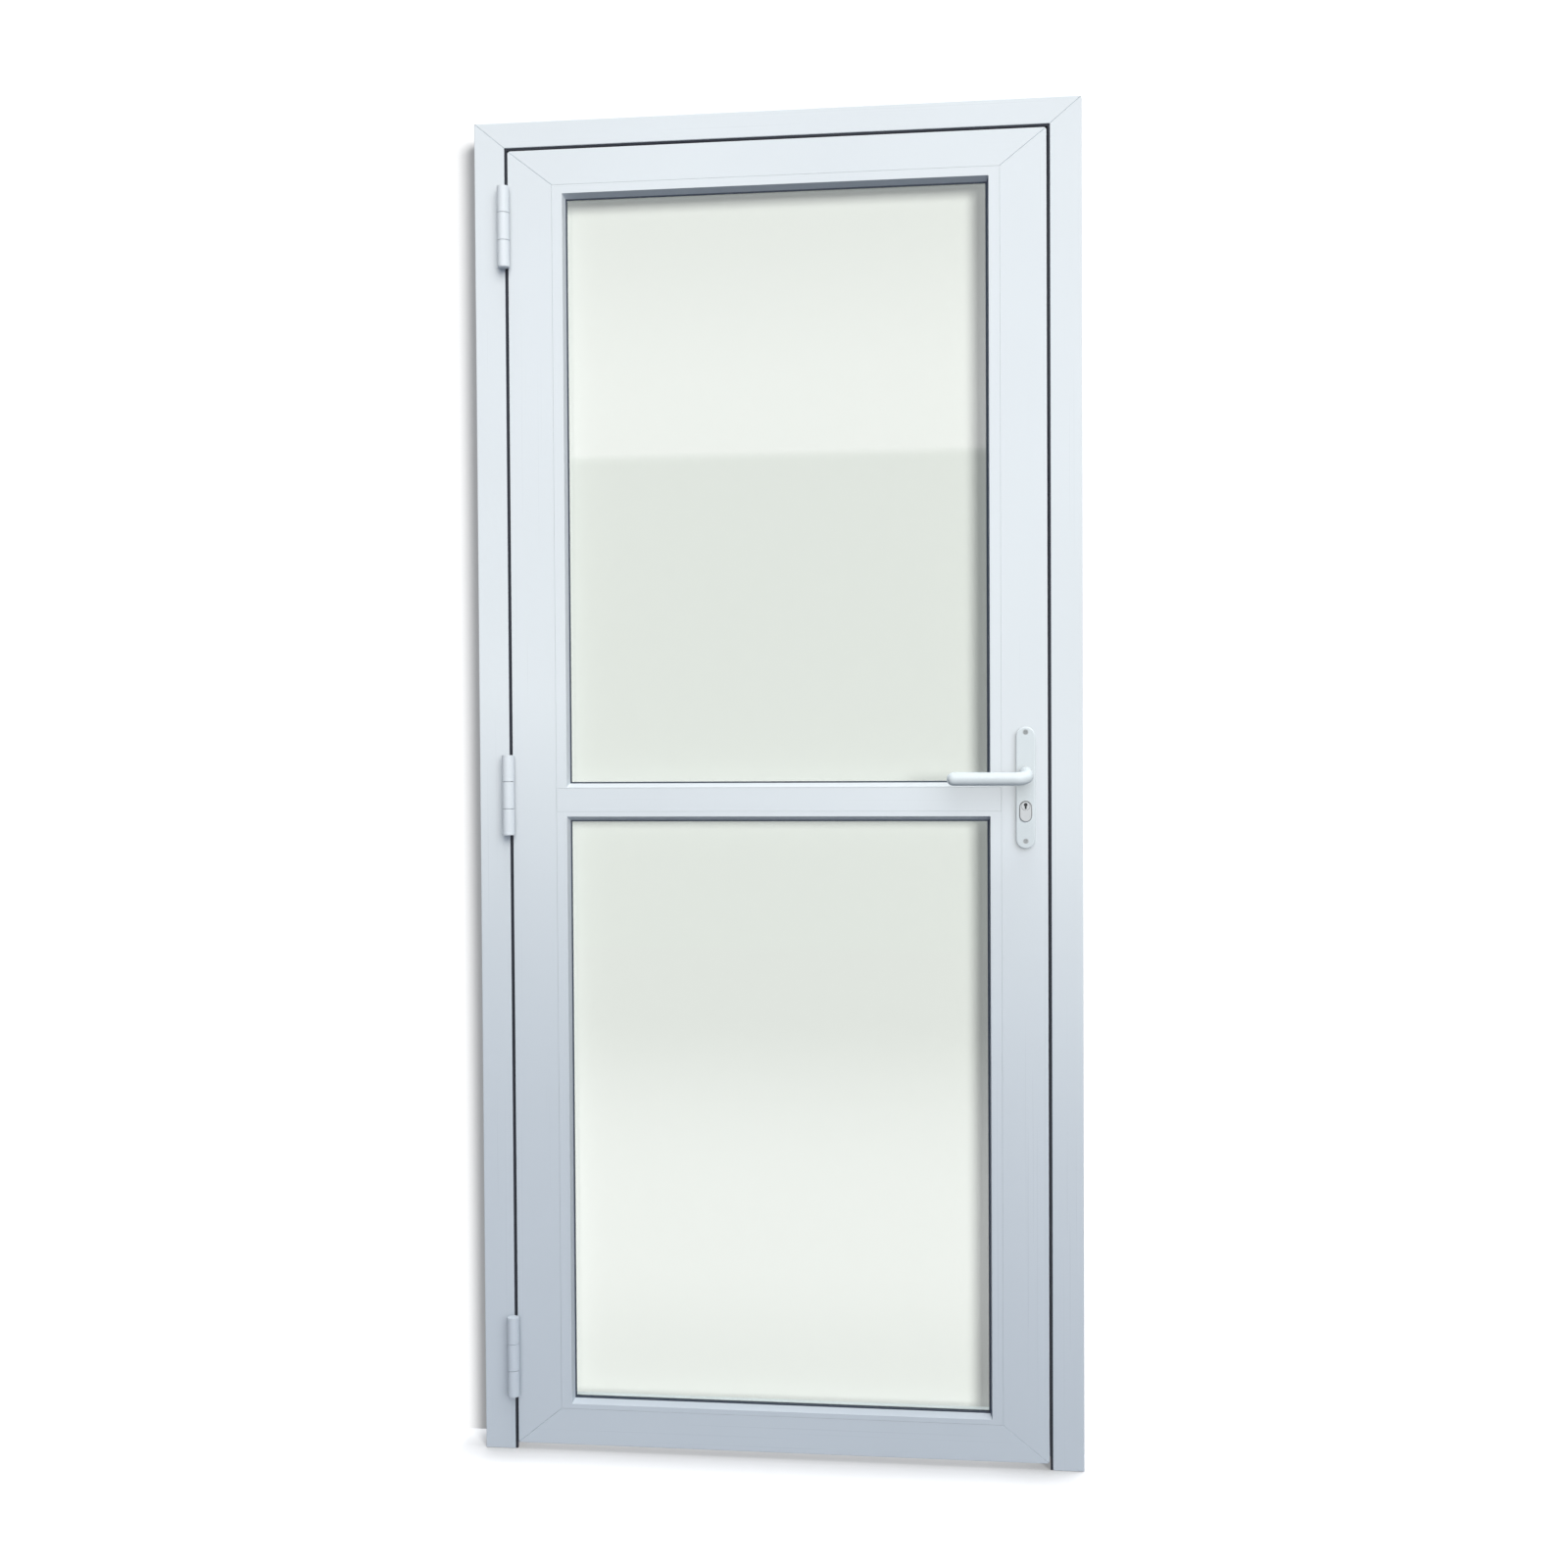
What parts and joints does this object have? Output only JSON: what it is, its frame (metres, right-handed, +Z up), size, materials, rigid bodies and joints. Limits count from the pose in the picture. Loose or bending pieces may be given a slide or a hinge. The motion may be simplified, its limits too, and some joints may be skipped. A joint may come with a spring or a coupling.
{
  "type": "glazed upvc door",
  "caption": "White plastic door in its three-sided frame, with an upper and a lower glass pane either side of a mid rail, butt hinges and a lever handle on a slim plate.",
  "frame": {"origin": "hinge jamb's outer side face, at mid depth of the frame and at floor level", "axes": "+X from the hinge side to the lock side, +Y from the front to the back, +Z up"},
  "size_m": [0.945, 0.1645, 2.1],
  "materials": {
    "white_upvc": "smooth low-gloss white",
    "white_coated_steel": "white powder coat",
    "white_coated_alloy": "white powder coat, smooth",
    "clear_glass": "clear, pale green",
    "black_rubber": "matt black",
    "grey_rubber": "matt dark grey",
    "dark_spacer": "matt dark grey",
    "plated_steel": "satin, plated",
    "satin_nickel": "satin nickel"
  },
  "bodies": {
    "frame": {"hinge_jamb": "white_upvc", "lock_jamb": "white_upvc", "head": "white_upvc", "edge_seal": "black_rubber", "stop_seal": "black_rubber", "strike_plate": "plated_steel", "upper_hinge_frame_half": "white_coated_steel", "upper_hinge_pin": "white_coated_steel", "middle_hinge_frame_half": "white_coated_steel", "middle_hinge_pin": "white_coated_steel", "lower_hinge_frame_half": "white_coated_steel", "lower_hinge_pin": "white_coated_steel"},
    "leaf": {"hinge_stile": "white_upvc", "lock_stile": "white_upvc", "top_rail": "white_upvc", "mid_rail": "white_upvc", "bottom_rail": "white_upvc", "upper_left_bead": "white_upvc", "upper_right_bead": "white_upvc", "upper_bottom_bead": "white_upvc", "upper_top_bead": "white_upvc", "upper_front_pane": "clear_glass", "upper_back_pane": "clear_glass", "upper_gaskets": "grey_rubber", "upper_spacer": "dark_spacer", "lower_left_bead": "white_upvc", "lower_right_bead": "white_upvc", "lower_bottom_bead": "white_upvc", "lower_top_bead": "white_upvc", "lower_front_pane": "clear_glass", "lower_back_pane": "clear_glass", "lower_gaskets": "grey_rubber", "lower_spacer": "dark_spacer", "upper_hinge_leaf_half": "white_coated_steel", "middle_hinge_leaf_half": "white_coated_steel", "lower_hinge_leaf_half": "white_coated_steel", "front_backplate": "white_coated_alloy", "back_backplate": "white_coated_alloy", "lock_cylinder": "satin_nickel", "lock_case": "plated_steel", "lock_faceplate": "plated_steel", "lock_bolts": "satin_nickel", "plate_screws": "plated_steel"},
    "handle": {"front_lever": "white_coated_alloy", "back_lever": "white_coated_alloy", "spindle": "plated_steel"}
  },
  "joints": [
    {"name": "door_swing", "type": "hinge", "parent": "frame", "child": "leaf", "pos_m": [0.0485, -0.0451, 0], "axis": [0, 0, -1], "range_deg": [0, 110]},
    {"name": "handle_turn", "type": "hinge", "parent": "leaf", "child": "handle", "pos_m": [0.858, -0.01, 1.075], "axis": [0, -1, 0], "range_deg": [0, 40], "stiffness_Nm_per_rad": 2, "springref_deg": -28.65}
  ]
}
